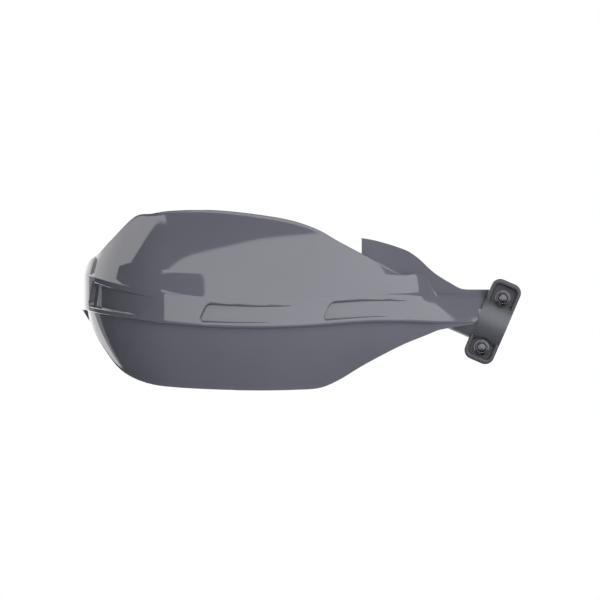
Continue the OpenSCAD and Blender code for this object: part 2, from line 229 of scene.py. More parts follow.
print("band and facet at mid band, mm",
      [round(height(0.5), 1) for height in (band_low, band_high, facet_top)])

# %% Leans and wall thickness at one place
def bowed(share, bow):
    return (1 - bow) * share + bow * share ** 2


def bowed_slope(share, bow):
    return 1 - bow + 2 * bow * share


def slant_t(tilt):
    return wall * math.sqrt(1 + tilt ** 2)


def band_back(s):
    """The wall behind the band, which thickens into the arm."""
    thin = step_in + wall
    f = max(0.0, min(1.0, (arm_end - s) / arm_fade))
    return thin + (arm_t - thin) * f ** 2 * (3 - 2 * f)


print("wall behind the band at the arm and at mid band, mm", band_back(0.0), band_back(0.5))

# %% One rib of the moulding
skirt_rows, band_rows, facet_rows, crown_rows, back_rows, web_rows = 16, 10, 6, 24, 9, 4


def rib(s):
    """One rib as a closed ring of (inset, height): up the face, over, and down the back."""
    low, high, top = band_low(s), band_high(s), facet_top(s)
    ck = crown_h * max(share_at(RIBS, 4, s), panel_least)
    sk = skirt_h * max(share_at(RIBS, 5, s), panel_least)
    step = step_in * min(1.0, sk / step_full)
    fl = facet_lean * min(1.0, (top - high) / facet_h)
    back = band_back(s)
    roll = arm_roll * max(0.0, 1 - s / roll_run)
    e = min(edge_r, (high - low) / 4)
    cs, cc = min(free_edge, sk / 4), min(free_edge, ck / 4)

    def skirt_face(d):
        return step + skirt_tuck * bowed(d / skirt_h, skirt_bow)

    def crown_face(y):
        return roll + fl + crown_lean * bowed(y / crown_h, crown_bow)

    def skirt_wall(d):
        return slant_t(skirt_tuck / skirt_h * bowed_slope(d / skirt_h, skirt_bow))

    def crown_wall(y):
        return slant_t(crown_lean / crown_h * bowed_slope(y / crown_h, crown_bow))

    ring = []
    for a in (0, 30, 60):
        turn = math.radians(a)
        ring.append((skirt_face(sk - cs) + cs * (1 - math.sin(turn)),
                     low - sk + cs * (1 - math.cos(turn))))
    for i in range(skirt_rows + 1):
        d = (sk - cs) * (1 - i / skirt_rows)
        ring.append((skirt_face(d), low - d))
    for a in (0, 30, 60, 90):
        turn = math.radians(a)
        ring.append((e * (1 - math.sin(turn)), low + e * (1 - math.cos(turn))))
    for i in range(1, band_rows + 1):
        g = i / band_rows
        ring.append((roll * g ** 2, low + e + (high - low - 2 * e) * g))
    for i in range(facet_rows + 1):
        g = i / facet_rows
        ring.append((roll + e / 2 + (fl - e / 2) * g, high + (top - high) * g))
    for i in range(1, crown_rows + 1):
        y = (ck - cc) * i / crown_rows
        ring.append((crown_face(y), top + y))
    for a in (30, 60, 90):
        turn = math.radians(a)
        ring.append((crown_face(ck - cc) + cc * (1 - math.cos(turn)),
                     top + ck - cc * (1 - math.sin(turn))))
    ring.append((crown_face(ck) + crown_wall(ck) - cc, top + ck))
    for i in range(back_rows + 1):
        y = (ck - cc) * (1 - i / back_rows)
        ring.append((crown_face(y) + crown_wall(y), top + y))
    ring.append((roll + max(fl / 2 + step_in + wall, fl + crown_wall(0)), (high + top) / 2))
    ring.append((back, high - e / 2))
    for i in range(1, web_rows):
        ring.append((back, high - e - (high - low - 2 * e) * i / web_rows))
    ring.append((back, low + e / 2))
    for i in range(back_rows + 1):
        d = (sk - cs) * i / back_rows
        inset = skirt_face(d) + skirt_wall(d)
        ring.append((max(inset, back) if i == 0 else inset, low - d))
    ring.append((skirt_face(sk) + skirt_wall(sk) - cs, low - sk))
    return ring


print("points in a rib", len(rib(0.5)))

# %% [markdown]
# A closed sleeve starts as a flat grid. One side of the grid runs along the guard and the
# other runs once round a rib, so its two long borders meet and are welded. The two open ends
# are then filled. Extruding a rib two hundred times would give the same sleeve with far more
# steps, and a curve with a bevel can't change its section along the way.

# %% A helper that wraps a grid into a closed sleeve
sleeve_weld = 0.000002


def sleeve(name, places, ring_at, point_at):
    """Adds a grid and moves its vertices on to the ribs, then welds and closes it."""
    rings = [ring_at(s) for s in places]
    around, along = len(rings[0]), len(places)
    bpy.ops.object.select_all(action="DESELECT")
    bpy.ops.mesh.primitive_grid_add(x_subdivisions=around, y_subdivisions=along - 1, size=1.0)
    made = bpy.context.object
    made.name = made.data.name = name
    flat = [v.co.copy() for v in made.data.vertices]
    order = sorted(range(len(flat)), key=lambda v: (round(flat[v].y, 6), flat[v].x))
    for k, v in enumerate(order):
        r, i = divmod(k, around + 1)
        inset, height = rings[r][i % around]
        made.data.vertices[v].co = point_at(places[r], inset, height)
    bpy.ops.object.mode_set(mode="EDIT")
    bpy.ops.mesh.select_all(action="SELECT")
    bpy.ops.mesh.remove_doubles(threshold=sleeve_weld)
    bpy.ops.mesh.select_all(action="DESELECT")
    bpy.ops.mesh.select_non_manifold(extend=False)
    bpy.ops.mesh.fill_holes(sides=0)
    bpy.ops.mesh.select_all(action="SELECT")
    bpy.ops.mesh.normals_make_consistent(inside=False)
    bpy.ops.object.mode_set(mode="OBJECT")
    print(name, len(made.data.polygons), "faces")
    return made


def steps(start, stop, step):
    """Even places from start up to, but not on, stop."""
    count = max(1, round((stop - start) / step))
    return [start + (stop - start) * k / count for k in range(count)]


# Places are closest where the facet ends and where the shield wraps round the hand
ring_places = (steps(-0.04, 0.09, 0.004) + steps(0.09, 0.12, 0.0015)
               + steps(0.12, 0.80, 0.0038) + steps(0.80, 1.0, 0.0024) + [1.0])
print("ribs in the skin", len(ring_places))
shield = sleeve("shell_skin", ring_places, rib, on_shield)

# %% [markdown]
# A fin stands on the back of the arm and leans away behind the crown. It is a thin blade
# whose height follows a table, so it is wrapped from a grid too. Its ragged outboard end
# is bisected upright, as the photograph shows it, and the cut is filled.

# %% The fin
fin_h, fin_lean, fin_t, fin_len = 35.0, 14.0, 2.6, 82.0
fin_start, fin_inset, fin_root, fin_curl, fin_trim = 20.0, 0.8, 6.0, 1.2, 10.0
fin_ease, fin_rows, fin_rings = 0.4, 14, 64
FIN = [(0, 0.14), (0.06, 0.16), (0.12, 0.22), (0.27, 0.40), (0.34, 0.52), (0.415, 0.68),
       (0.49, 0.79), (0.56, 0.84), (0.85, 0.97), (1, 1.01)]


def fin_ring(s):
    """The fin's blade at one place, with its top edge eased."""
    foot = band_back(s) - fin_t - fin_inset
    base = band_high(s) - fin_root
    tall = fin_h * share_at(FIN, 1, s * plan_len / fin_len) + fin_root

    def lean(y):
        return foot + fin_lean * (max(y - fin_root, 0.0) / fin_h) ** fin_curl

    rows = [(tall - fin_ease) * i / fin_rows for i in range(fin_rows + 1)]
    ring = [(lean(y), base + y) for y in rows]
    ring.append((lean(tall) + fin_ease, base + tall))
    ring.append((lean(tall) + fin_t - fin_ease, base + tall))
    ring += [(lean(y) + fin_t, base + y) for y in reversed(rows)]
    return ring


def cut_by_plane(obj, place, normal):
    """Removes what lies on the normal's side of a plane and fills the cut."""
    only(obj)
    bpy.ops.object.mode_set(mode="EDIT")
    bpy.ops.mesh.select_all(action="SELECT")
    bpy.ops.mesh.bisect(plane_co=place, plane_no=normal, use_fill=True, clear_outer=True)
    bpy.ops.object.mode_set(mode="OBJECT")


fin_places = [(-fin_start + (fin_len + fin_start) * k / fin_rings) / plan_len
              for k in range(fin_rings + 1)]
fin = sleeve("fin", fin_places, fin_ring, on_shield)
cut_by_plane(fin, ((arm_root.x - fin_len + fin_trim) * 0.001, 0.0, 0.0), (-1.0, 0.0, 0.0))
print("fin", [round(v * 1000, 1) for v in fin.dimensions], "mm")

# %% [markdown]
# One moulding means one skin, so the fin is fused to the shield with a Boolean and not left
# standing through it. The arm then stops at a plane square to the handlebar, where the
# clamp's block takes over.

# %% Fuse the fin, and end the arm at the clamp
bar_slope = math.radians(23.3)
bar_way = Vector((math.cos(bar_slope), 0.0, -math.sin(bar_slope)))
clamp_w, arm_bite = 0.0196, 0.0005


def combine(obj, tool, operation):
    """Applies an exact Boolean and removes the tool."""
    only(obj)
    step = obj.modifiers.new("combine", "BOOLEAN")
    step.operation = operation
    step.solver = "EXACT"
    step.object = tool
    bpy.ops.object.modifier_apply(modifier="combine")
    bpy.data.objects.remove(tool)
    print(operation.lower(), "->", len(obj.data.polygons), "faces")


combine(shield, fin, "UNION")
cut_by_plane(shield, bar_way * (arm_bite - clamp_w / 2), bar_way)

# %% [markdown]
# The front half of the clamp is a plate with rounded ears, a nut pocket in each ear and half
# a tube for the bar. Each of these is a plain block or cylinder with its corners bevelled,
# so it is built from primitives in the bar's own frame and turned to the bar's slope at
# the end, which is easier than modelling on a slant.

# %% Sizes of the clamp, in metres, and helpers for its primitives
bar_r, saddle_r, saddle_run, face_y = 0.0111, 0.0151, 0.0152, 0.001
bolt_v, seat_y, rim_h, rim_side, rim_end = 0.017, 0.006, 0.004, 0.0026, 0.0033
ear_end, ear_shift, ear_corner_r, tail_top, seat_r = 0.0272, 0.0009, 0.0058, 0.005, 0.0066
hole_r, bolt_len, bar_run = 0.0027, 0.020, 0.060
fine_round, plain_round, small_round = 160, 96, 64
hair, spare = 0.00001, 0.002
print("clamp's width", round(clamp_w * 1000, 1), "mm, bore", round(bar_r * 2000, 1), "mm")


def block(name, low, high):
    """A box from its lowest to its highest corner."""
    low, high = Vector(low), Vector(high)
    bpy.ops.object.select_all(action="DESELECT")
    bpy.ops.mesh.primitive_cube_add(size=1.0, location=(low + high) / 2)
    made = bpy.context.object
    made.name = made.data.name = name
    made.scale = high - low
    bpy.ops.object.transform_apply(location=True, rotation=True, scale=True)
    return made


def rod(name, radius, start, end, vertices):
    """A round bar from start to end."""
    start, end = Vector(start), Vector(end)
    bpy.ops.object.select_all(action="DESELECT")
    bpy.ops.mesh.primitive_cylinder_add(vertices=vertices, radius=radius,
                                        depth=(end - start).length, location=(start + end) / 2)
    made = bpy.context.object
    made.name = made.data.name = name
    made.rotation_mode = "QUATERNION"
    made.rotation_quaternion = (end - start).to_track_quat("Z", "Y")
    bpy.ops.object.transform_apply(location=True, rotation=True, scale=True)
    return made


def bevel_where(obj, test, width, segments):
    """Bevels the edges whose two ends pass a test."""
    only(obj)
    bpy.ops.object.mode_set(mode="EDIT")
    bpy.ops.mesh.select_all(action="DESELECT")
    bpy.ops.object.mode_set(mode="OBJECT")
    for edge in obj.data.edges:
        a, b = (obj.data.vertices[v].co for v in edge.vertices)
        edge.select = test(a, b)
    bpy.context.tool_settings.mesh_select_mode = (False, True, False)
    bpy.ops.object.mode_set(mode="EDIT")
    bpy.ops.mesh.bevel(offset=width, segments=segments, affect="EDGES", clamp_overlap=True)
    bpy.ops.object.mode_set(mode="OBJECT")
    bpy.context.tool_settings.mesh_select_mode = (True, False, False)


# %% [markdown]
# Each ear holds its nut in a pocket with a wall round it. Both rims of that wall are rounded,
# as moulded rims are. They could be cut with a rounded tool, but the plate and its pocket are
# plain blocks here, bevelled at the corners, and the two rims are still loops of edges that
# can be picked by their place and bevelled last.

# %% The ears and their pockets
front = -seat_y - rim_h
pocket_corner_r, rim_r = 0.0028, 0.0012
ear_corner_rows, pocket_corner_rows, rim_rows = 10, 8, 5


def runs_ahead(a, b):
    """An edge that runs front to back, as a corner of a block does."""
    return abs(a.y - b.y) > 0.001


ears = block("ears", (-clamp_w / 2, front, ear_shift - ear_end),
             (clamp_w / 2, -face_y, ear_shift + ear_end))
bevel_where(ears, runs_ahead, ear_corner_r, ear_corner_rows)
pocket_w, pocket_v = clamp_w / 2 - rim_side, ear_end - rim_end
pocket = block("pocket", (-pocket_w, front - 0.001, ear_shift - pocket_v),
               (pocket_w, -seat_y, ear_shift + pocket_v))
bevel_where(pocket, runs_ahead, pocket_corner_r, pocket_corner_rows)
combine(ears, pocket, "DIFFERENCE")


def inner(v):
    """Whether a point lies on the pocket's side of the wall round it."""
    return abs(v.x) < pocket_w + hair and abs(v.z - ear_shift) < pocket_v + hair


def on_a_rim(a, b):
    """An edge of the front face that doesn't cross from one rim to the other."""
    return max(a.y, b.y) < front + hair and inner(a) == inner(b)


bevel_where(ears, on_a_rim, rim_r, rim_rows)

# %% The saddle round the bar, its tail beside the arm, and the nuts' seats
saddle = rod("saddle", saddle_r, (-clamp_w / 2, 0, 0), (clamp_w / 2, 0, 0), fine_round)
cut_by_plane(saddle, (0, -face_y, 0), (0, 1, 0))
combine(ears, saddle, "UNION")
tail = rod("tail", saddle_r, (-clamp_w / 2 - saddle_run, 0, 0),
           (-clamp_w / 2 + spare, 0, 0), fine_round)
cut_by_plane(tail, (0, -face_y, 0), (0, 1, 0))
cut_by_plane(tail, (0, 0, tail_top), (0, 0, 1))
combine(ears, tail, "UNION")
for side in (-1, 1):
    seat = rod("seat", seat_r, (0, -saddle_r - spare, side * bolt_v),
               (0, -seat_y, side * bolt_v), plain_round)
    combine(ears, seat, "DIFFERENCE")
ears.rotation_euler = (0.0, bar_slope, 0.0)
only(ears)
bpy.ops.object.transform_apply(location=False, rotation=True, scale=False)
print("clamp", [round(v * 1000, 1) for v in ears.dimensions], "mm")

# %% [markdown]
# On the real part the clamp's front half and the arm are one moulding, and the bore and
# the bolt holes pass through both. So the clamp is fused first and the holes are opened
# afterwards, which leaves no skin of the arm standing across them.

# %% Join the clamp to the arm, and open the bore and the bolt holes
combine(shield, ears, "UNION")
combine(shield, rod("bore", bar_r, bar_way * -bar_run, bar_way * clamp_w, fine_round),
        "DIFFERENCE")
across = Vector((0.0, 1.0, 0.0))
bar_up = Vector((math.sin(bar_slope), 0.0, math.cos(bar_slope)))
for side in (-1, 1):
    middle = bar_up * bolt_v * side
    combine(shield, rod("hole", hole_r, middle - across * bolt_len, middle + across * bolt_len,
                        small_round), "DIFFERENCE")

# %% [markdown]
# Three scoops run along the band. Each is deep at its blunt, slanted end, rises to nothing
# at the other, and rolls over a soft lip into the band. A recess could be drawn in bump, but
# its dark edge and its lip are what the eye reads. A block with a ramp would cut a sharp
# lip, so the tool is a field of depths: one rule says how deep each point lies, and the
# sleeve's grid carries those points on to the band's curve before the tool is subtracted.

# %% Sizes of the scoops, in millimetres
scoop_len, scoop_depth, scoop_over, scoop_rake = 61.0, 3.0, 0.3, 0.14
scoop_top, scoop_bottom, scoop_slant, scoop_r = 4.4, 3.2, 6.0, 2.8
scoop_lip, scoop_taper, scoop_rows = 0.9, 0.6, 56
lip_full, lip_slope, wall_slope = 0.97, 0.15, 4
SCOOP_STARTS = (37.5, 124.0, 203.5)
print("scoops start at", SCOOP_STARTS, "mm from the outboard end")

# %% The scoops
def recess(run, up, tall):
    """How deep the scoop is at a run from its blunt end and a height up its side."""
    ramp = (scoop_depth + scoop_over) * (1 - run / scoop_len) - scoop_over
    aside = min(up, tall - up) - scoop_taper * max(run, 0.0) / scoop_len
    inside = min(run, aside)
    if run < scoop_r and aside < scoop_r:
        inside = scoop_r - math.hypot(scoop_r - run, scoop_r - aside)
    x = inside + scoop_lip
    y = min(max(x, 0.0), lip_full * scoop_lip)
    steep = wall_slope * max(x - y, 0.0) * (x > 0)
    side_wall = lip_slope * x + scoop_lip - math.sqrt(scoop_lip ** 2 - y ** 2) + steep
    return min(ramp, side_wall)


def scoop(name, first):
    """The tool of one scoop, whose blunt end lies so far from the outboard end."""
    margin = scoop_lip + 0.3
    runs = steps(-margin, 4.0, 0.22) + steps(4.0, scoop_len, 1.2) + [scoop_len]

    def place(run, share, inset=None):
        a = first + run * (1 - scoop_rake * (1 - share)) + scoop_slant * (share - 0.5)
        s = 1 - a / plan_len
        lo, hi = band_low(s) + scoop_bottom, band_high(s) - scoop_top
        up = (hi - lo + 2 * margin) * share - margin
        return on_shield(s, recess(run, up, hi - lo) if inset is None else inset, lo + up)

    def column(k):
        floor = [place(runs[k], j / scoop_rows) for j in range(scoop_rows + 1)]
        return floor + [place(runs[k], 1.0, -scoop_depth), place(runs[k], 0.0, -scoop_depth)]

    columns = [column(k) for k in range(len(runs))]
    return sleeve(name, list(range(len(runs))), lambda k: [(i, k) for i in range(scoop_rows + 3)],
                  lambda k, i, _: columns[k][i])


for number, first in enumerate(SCOOP_STARTS):
    combine(shield, scoop("scoop_%d" % number, first), "DIFFERENCE")

# %% [markdown]
# The fused skin is welded once more and smoothed up to an angle that keeps the facet's edges
# crisp. The clamp's end is moulded duller than the shield, and its faces also get painted
# shade: a darker base colour that stands in for the shade in the pockets and round the saddle.
# A second material would end in a hard line and needs its own slot, so each face carries a
# number, which the finish reads for both roughness and painted shade: 0 on the shield, and up
# to 1 on the floors of the pockets.

# %% Weld and smooth the moulding
skin_weld, skin_angle = 0.000004, math.radians(26.0)
# Each place's number sets both a duller finish and painted shade: the higher it is, the rougher
# the faces and the darker their painted shade.
SATIN_AND_SHADE = {"saddle": 0.8, "rim": 0.95, "pocket": 1.0}
only(shield)
bpy.ops.object.mode_set(mode="EDIT")
bpy.ops.mesh.select_all(action="SELECT")
bpy.ops.mesh.remove_doubles(threshold=skin_weld)
bpy.ops.object.mode_set(mode="OBJECT")
bpy.ops.object.shade_smooth_by_angle(angle=skin_angle)
print("skin", len(shield.data.vertices), "vertices")

# %% Mark the clamp's duller faces, which also get painted shade
satin_and_shade = shield.data.attributes.new("satin_and_shade", "FLOAT", "FACE")
for face in shield.data.polygons:
    u, v, y = face.center.dot(bar_way), face.center.dot(bar_up), face.center.y
    in_pocket = (abs(u) < pocket_w + 0.0006 and abs(v - ear_shift) < pocket_v + 0.0006
                 and y > front + 0.0005)
    on_clamp = abs(u) < clamp_w / 2 + 0.0002 and y < -face_y
    if on_clamp and abs(math.hypot(v, y) - saddle_r) < 0.0003:
        satin_and_shade.data[face.index].value = SATIN_AND_SHADE["saddle"]
    elif on_clamp and not in_pocket and math.hypot(v, y) > saddle_r:
        satin_and_shade.data[face.index].value = SATIN_AND_SHADE["rim"]
    elif in_pocket:
        satin_and_shade.data[face.index].value = SATIN_AND_SHADE["pocket"]
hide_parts("shell")
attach(shield, "root")
print("moulding", len(shield.data.polygons), "faces",
      [round(v * 1000, 1) for v in shield.dimensions], "mm")

# %% [markdown]
# Every finish here needs the same few irregularities: a slow drift in tone, a fine ripple
# in the skin and a little dust. They could be drawn anew in each material, but one node
# group with named inputs keeps them alike, and each material only sets how strong they are.

# %% An empty node group with named sockets
def new_group(name, inputs, outputs):
    """Makes an empty shader group with float inputs (name, default) and named outputs."""
    group = bpy.data.node_groups.new(name, "ShaderNodeTree")
    group.interface.new_socket("Vector", in_out="INPUT", socket_type="NodeSocketVector")
    for label, default in inputs:
        socket = group.interface.new_socket(label, in_out="INPUT", socket_type="NodeSocketFloat")
        socket.default_value = default
    for label in outputs:
        group.interface.new_socket(label, in_out="OUTPUT", socket_type="NodeSocketFloat")
    return group


surface_detail = new_group(
    "surface_detail",
    [("Ripple Scale", 900.0), ("Dust", 0.3)],
    ["Tone", "Scuff", "Dust Mask", "Height"],
)
print("group", surface_detail.name, "inputs",
      [s.name for s in surface_detail.interface.items_tree if s.in_out == "INPUT"])

# %% Helpers that add nodes, and the two ends of the group
def add(tree, kind, **settings):
    """Adds a node and sets the properties that are named."""
    node = tree.nodes.new(kind)
    for key, value in settings.items():
        setattr(node, key, value)
    return node


def noise(tree, vector, scale, detail):
    """A noise texture at a set scale, read on the given coordinates."""
    node = add(tree, "ShaderNodeTexNoise")
    node.inputs["Scale"].default_value = scale
    node.inputs["Detail"].default_value = detail
    tree.links.new(vector, node.inputs["Vector"])
    return node.outputs["Fac"]


def blend_range(tree, value, low, high, to_low, to_high):
    """Maps a value from one range to another, and holds it at the ends."""
    node = add(tree, "ShaderNodeMapRange")
    for label, number in (("From Min", low), ("From Max", high)):
        node.inputs[label].default_value = number
    for label, number in (("To Min", to_low), ("To Max", to_high)):
        if hasattr(number, "is_output"):
            tree.links.new(number, node.inputs[label])
        else:
            node.inputs[label].default_value = number
    tree.links.new(value, node.inputs["Value"])
    return node.outputs["Result"]


entry = add(surface_detail, "NodeGroupInput")
leave = add(surface_detail, "NodeGroupOutput")
print("ends of the group:", entry.bl_idname, leave.bl_idname)

# %% What the group works out: slow tone, finer scuffs, ripple and specks of dust
slow = noise(surface_detail, entry.outputs["Vector"], 22.0, 3.0)
patch = noise(surface_detail, entry.outputs["Vector"], 140.0, 5.0)
ripple = add(surface_detail, "ShaderNodeTexNoise")
ripple.inputs["Detail"].default_value = 2.0
surface_detail.links.new(entry.outputs["Vector"], ripple.inputs["Vector"])
surface_detail.links.new(entry.outputs["Ripple Scale"], ripple.inputs["Scale"])
specks = add(surface_detail, "ShaderNodeTexVoronoi")
specks.inputs["Scale"].default_value = 420.0
surface_detail.links.new(entry.outputs["Vector"], specks.inputs["Vector"])
grain = blend_range(surface_detail, specks.outputs["Distance"], 0.05, 0.12, 1.0, 0.0)
dusty = add(surface_detail, "ShaderNodeMath", operation="MULTIPLY")
surface_detail.links.new(grain, dusty.inputs[0])
surface_detail.links.new(entry.outputs["Dust"], dusty.inputs[1])
for label, value in (
    ("Tone", blend_range(surface_detail, slow, 0.3, 0.7, 0.0, 1.0)),
    ("Scuff", blend_range(surface_detail, patch, 0.35, 0.75, 0.0, 1.0)),
    ("Dust Mask", dusty.outputs["Value"]),
    ("Height", ripple.outputs["Fac"]),
):
    surface_detail.links.new(value, leave.inputs[label])
print("group", surface_detail.name, "outputs", [s.name for s in leave.inputs if s.name])

# %% [markdown]
# The guard is moulded in a coloured plastic with a glossy, slightly rippled skin.
# Paint would need a clear coat over a base. A coloured plastic has one gloss layer and its
# colour lies under it, so a single Principled BSDF is enough, with the detail group moving
# its tone, its roughness and a very shallow bump. The clamp's marked faces turn rougher, and
# their base colour is darkened as painted shade.
# The refraction index and the specular level are the same all over a finish, so they are set
# on the shader's own sockets, where an export finds them.

# %% A function that builds a finish from the detail group
plastic_ior, dust_grey = 1.5, (0.30, 0.30, 0.32, 1.0)
# Above a mark of 0.6 the base colour is darkened, down to 0.35 of itself, as painted shade; the
# roughness of 0.55 is the duller finish itself.
painted_shade_from, satin_rough, painted_shade_level = 0.6, 0.55, 0.35


def finish(name, dark, light, rough, ripple_scale, ripple_m, dust, metallic=0.0, gloss=0.5):
    """A material whose colour drifts from dark to light, with rough as (low, high)."""
    made = bpy.data.materials.new(name)
    made.use_nodes = True
    tree = made.node_tree
    shader = tree.nodes["Principled BSDF"]
    shader.inputs["Metallic"].default_value = metallic
    shader.inputs["IOR"].default_value = plastic_ior
    shader.inputs["Specular IOR Level"].default_value = gloss
    place = add(tree, "ShaderNodeTexCoord")
    detail = add(tree, "ShaderNodeGroup", node_tree=surface_detail)
    detail.inputs["Ripple Scale"].default_value = ripple_scale
    detail.inputs["Dust"].default_value = dust
    tree.links.new(place.outputs["Object"], detail.inputs["Vector"])
    tones = add(tree, "ShaderNodeMix", data_type="RGBA")
    tones.inputs["A"].default_value = (*dark, 1.0)
    tones.inputs["B"].default_value = (*light, 1.0)
    tree.links.new(detail.outputs["Tone"], tones.inputs["Factor"])
    dusted = add(tree, "ShaderNodeMix", data_type="RGBA")
    dusted.inputs["B"].default_value = dust_grey
    tree.links.new(detail.outputs["Dust Mask"], dusted.inputs["Factor"])
    tree.links.new(tones.outputs["Result"], dusted.inputs["A"])
    shaded = add(tree, "ShaderNodeMix", data_type="RGBA", blend_type="MULTIPLY")
    shaded.inputs["Factor"].default_value = 1.0
    tree.links.new(dusted.outputs["Result"], shaded.inputs["A"])
    tree.links.new(shaded.outputs["Result"], shader.inputs["Base Color"])
    # Painted shade: the marked clamp faces get a base colour multiplied down, standing in for the
    # shade in the pockets and round the saddle, and a higher roughness as well.
    satin_and_shade_mask = add(tree, "ShaderNodeAttribute", attribute_name="satin_and_shade")
    tree.links.new(blend_range(tree, satin_and_shade_mask.outputs["Fac"], painted_shade_from, 1.0, 1.0, painted_shade_level),
                   shaded.inputs["B"])
    mirror = blend_range(tree, detail.outputs["Scuff"], 0.0, 1.0, *rough)
    tree.links.new(blend_range(tree, satin_and_shade_mask.outputs["Fac"], 0.0, 1.0, mirror, satin_rough),
                   shader.inputs["Roughness"])
    bump = add(tree, "ShaderNodeBump")
    bump.inputs["Strength"].default_value = 1.0
    bump.inputs["Distance"].default_value = ripple_m
    tree.links.new(detail.outputs["Height"], bump.inputs["Height"])
    tree.links.new(bump.outputs["Normal"], shader.inputs["Normal"])
    print("finish", name, "with", len(tree.nodes), "nodes")
    return made


# %% [markdown]
# Four finishes cover the guard. The shield's plastic is close to a mirror, with a ripple so
# long and shallow that only the edges of reflections waver. The rear clamp is the same
# plastic, a little duller. The plated steel is a dark, brushed-looking metal, and the nylon
# ring in each nut is nearly black with hardly any gloss.

# %% The four finishes
guard_plastic = finish("guard_plastic", (0.085, 0.087, 0.106), (0.092, 0.094, 0.114), (0.05, 0.07),
                       ripple_scale=350.0, ripple_m=0.000002, dust=0.04)
clamp_plastic = finish("clamp_plastic", (0.080, 0.082, 0.098), (0.092, 0.094, 0.112), (0.10, 0.14),
                       ripple_scale=1400.0, ripple_m=0.000004, dust=0.06)
plated_steel = finish("plated_steel", (0.070, 0.070, 0.080), (0.088, 0.088, 0.100), (0.26, 0.34),
                      metallic=1.0, ripple_scale=2600.0, ripple_m=0.000012, dust=0.05)
nylon = finish("nylon", (0.006, 0.006, 0.008), (0.010, 0.010, 0.012), (0.42, 0.55),
               ripple_scale=2000.0, ripple_m=0.00001, dust=0.05, gloss=0.08)

# %% [markdown]
# The moulding gets its finish, and each other node its smooth copy and its finish. These
# copies take a fine bevel, because no moulded or turned edge is sharper than a tenth or so of
# a millimetre. The moulding's own edges were rounded in its ribs.

# %% Dress every node
shield.data.materials.clear()
shield.data.materials.append(guard_plastic)
FINISHES = {"clamp_plastic": clamp_plastic, "plated_steel": plated_steel, "nylon": nylon}
DRESS = [("rear_clamp", "clamp_plastic", 0.0004)]
for kind, slot_name, bevel_m in (("bolt", "plated_steel", 0.00025),
                                 ("head_washer", "plated_steel", 0.00012),
                                 ("nut_washer", "plated_steel", 0.00012),
                                 ("nut", "plated_steel", 0.00022),
                                 ("nut_insert", "nylon", 0.0001)):
    DRESS += [(kind + "_upper", slot_name, bevel_m), (kind + "_lower", slot_name, bevel_m)]
for node, slot_name, bevel_m in DRESS:
    piece = dressed_copy(node, node + "_skin", bevel_m)
    piece.data.materials.clear()
    piece.data.materials.append(FINISHES[slot_name])
print("dressed copies", len(DRESS))

# %% [markdown]
# The photograph looks at the guard's front squarely, with hardly any perspective. A near
# camera would swell the middle of the shield, and an orthographic one is rarely what a
# studio has, so the camera stands far off with a long lens.

# %% The camera
image_width_m = 0.381
camera_far = 8.0
view_centre = Vector((-0.1219, 0.0, 0.0145))
camera = bpy.data.objects.new("camera", bpy.data.cameras.new("camera"))
bpy.context.scene.collection.objects.link(camera)
camera.location = view_centre + Vector((0.0, -camera_far, 0.0))
camera.rotation_euler = (math.radians(90.0), 0.0, 0.0)
camera.data.sensor_width = 36.0
camera.data.lens = camera.data.sensor_width * camera_far / image_width_m
camera.data.clip_end = 100.0
bpy.context.scene.camera = camera
print("lens", round(camera.data.lens), "mm")

# %% [markdown]
# A glossy part is lit by what it mirrors: its pale fields are the reflection of a softbox,
# and their crisp borders are the softbox's edges. A point lamp would give it only small
# sparks. So the key is a wall of light ahead and to the right, and its borders were placed
# by working out, for the borders of the pale fields, where their reflected rays go. Its
# outline isn't a plain rectangle, so it is made of four panels in one plane.

# %% A helper for a softbox, and the key
def softbox(name, place, aim, roll_deg, size, radiance):
    """A rectangular lamp at a place, facing a point, as bright as radiance times white."""
    lamp = bpy.data.lights.new(name, "AREA")
    lamp.shape = "RECTANGLE"
    lamp.size, lamp.size_y = size
    lamp.energy = radiance * math.pi * size[0] * size[1]
    box = bpy.data.objects.new(name, lamp)
    bpy.context.scene.collection.objects.link(box)
    box.location = place
    turn = (Vector(aim) - Vector(place)).to_track_quat("-Z", "Y")
    box.rotation_mode = "QUATERNION"
    box.rotation_quaternion = turn
    box.rotation_quaternion.rotate(
        Quaternion(Vector(aim) - Vector(place), math.radians(roll_deg)))
    box.visible_camera = False
    print("softbox", name, [round(v, 2) for v in box.location])
    return box


guard_middle = Vector((-0.125, -0.04, 0.015))
key_far, key_turn, key_radiance = 1.6, math.radians(27.0), 3.0
key_way = Vector((math.sin(key_turn), -math.cos(key_turn), 0.0))
key_across = Vector((math.cos(key_turn), math.sin(key_turn), 0.0))


def key_box(name, left, right, bottom, top):
    """One panel of the key, from left to right and bottom to top as the guard sees it."""
    place = (guard_middle + key_way * key_far + key_across * (left + right) / 2
             + Vector((0.0, 0.0, (bottom + top) / 2)))
    return softbox(name, place, place - key_way, 0.0, (right - left, top - bottom), key_radiance)


key_box("key_low", -2.2, 2.45, -0.26, 0.6)
key_box("key_middle", -1.0, 2.45, 0.6, 1.8)
key_box("key_upper", -1.0, 1.7, 1.8, 2.0)
key_box("key_top", -2.2, 1.7, 2.0, 2.6)

# %% [markdown]
# The outboard edge turns away from the key and would be lost in the dark. A tall softbox
# beyond it draws the bright line there, and it only shows in reflections, so that it doesn't
# grey the rest. Behind the guard stand a softbox and a soft fill, which light the back for
# anyone who walks round it. They face forward, so they add little to the front view.

